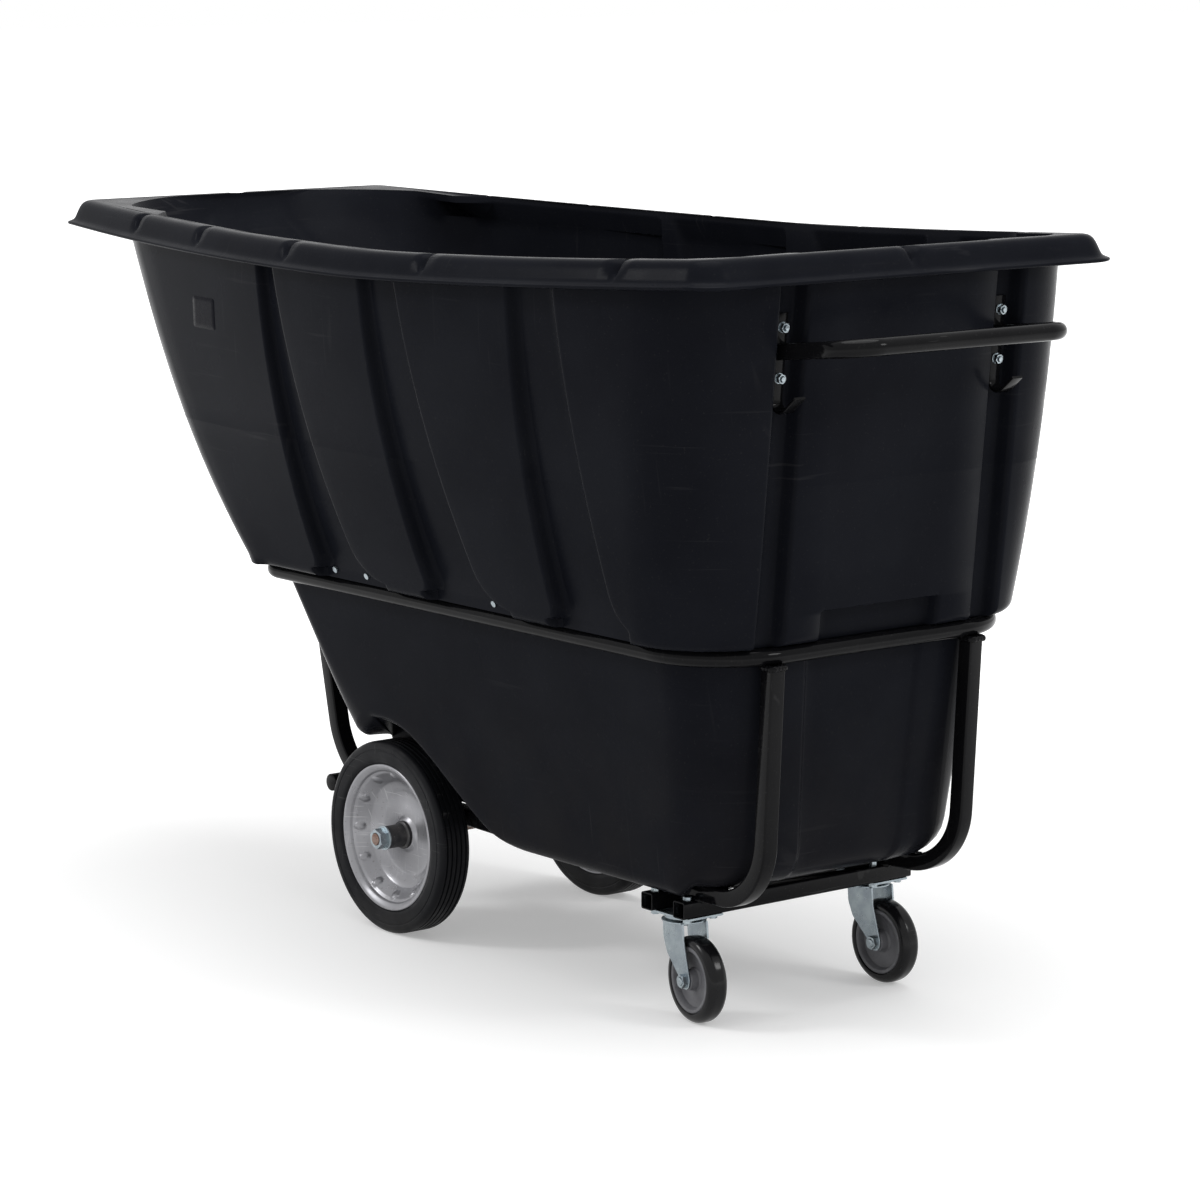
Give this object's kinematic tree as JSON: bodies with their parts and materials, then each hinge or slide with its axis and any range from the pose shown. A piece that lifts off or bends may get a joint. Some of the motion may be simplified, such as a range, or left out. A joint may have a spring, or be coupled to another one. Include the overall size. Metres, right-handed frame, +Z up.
{
  "type": "tilting dump cart",
  "caption": "Tilting dump cart: deep sloped-nose plastic hopper on a tubular steel frame, with fixed main wheels, swivel casters and a push handle",
  "frame": {"origin": "floor point below the middle of the bounding box", "axes": "+X to the handle end, -X the dumping nose, +Z up, Y across; the near side of the picture is -Y"},
  "size_m": [1.8466, 0.902, 1.127],
  "materials": {
    "tub": "satin moulded polyethylene",
    "frame": "gloss powder coat",
    "axle": "bare steel, a little rusty",
    "tyre": "solid rubber",
    "rim": "silver paint",
    "caster_tread": "smooth soft tread",
    "caster_core": "grey moulded core",
    "zinc": "bright zinc plate"
  },
  "bodies": {
    "cart": {"hopper": "tub", "ring_tube": "frame", "rail_left": "frame", "rail_right": "frame", "dump_stop_bar": "frame", "base_tube_front": "frame", "base_tube_rear": "frame", "axle_bracket_left": "frame", "axle_bracket_right": "frame", "axle": "axle", "axle_nuts": "zinc", "axle_washers": "zinc", "caster_plate_left": "zinc", "caster_plate_right": "zinc", "caster_bolts": "zinc", "handle_bar": "frame", "strap_left": "frame", "strap_right": "frame", "strap_bolts": "zinc", "ring_screws": "zinc"},
    "wheel_left": {"tyre_left": "tyre", "rim_left": "rim", "hub_left": "rim"},
    "wheel_right": {"tyre_right": "tyre", "rim_right": "rim", "hub_right": "rim"},
    "caster_left": {"caster_fork_left": "zinc", "caster_pin_left": "zinc"},
    "caster_right": {"caster_fork_right": "zinc", "caster_pin_right": "zinc"},
    "caster_wheel_left": {"caster_tread_left": "caster_tread", "caster_core_left": "caster_core"},
    "caster_wheel_right": {"caster_tread_right": "caster_tread", "caster_core_right": "caster_core"}
  },
  "joints": [
    {"name": "wheel_left_spin", "type": "hinge", "parent": "cart", "child": "wheel_left", "pos_m": [-0.14535, -0.204, 0.1524], "axis": [0, 1, 0], "continuous": true},
    {"name": "wheel_right_spin", "type": "hinge", "parent": "cart", "child": "wheel_right", "pos_m": [-0.14535, 0.204, 0.1524], "axis": [0, 1, 0], "continuous": true},
    {"name": "caster_left_swivel", "type": "hinge", "parent": "cart", "child": "caster_left", "pos_m": [0.52665, -0.18, 0.147], "axis": [0, 0, 1], "continuous": true},
    {"name": "caster_right_swivel", "type": "hinge", "parent": "cart", "child": "caster_right", "pos_m": [0.52665, 0.18, 0.147], "axis": [0, 0, 1], "continuous": true},
    {"name": "caster_left_spin", "type": "hinge", "parent": "caster_left", "child": "caster_wheel_left", "pos_m": [0.56329, -0.18515, 0.0635], "axis": [0.1392, 0.9903, 0], "continuous": true},
    {"name": "caster_right_spin", "type": "hinge", "parent": "caster_right", "child": "caster_wheel_right", "pos_m": [0.56365, 0.18, 0.0635], "axis": [0, 1, 0], "continuous": true}
  ]
}
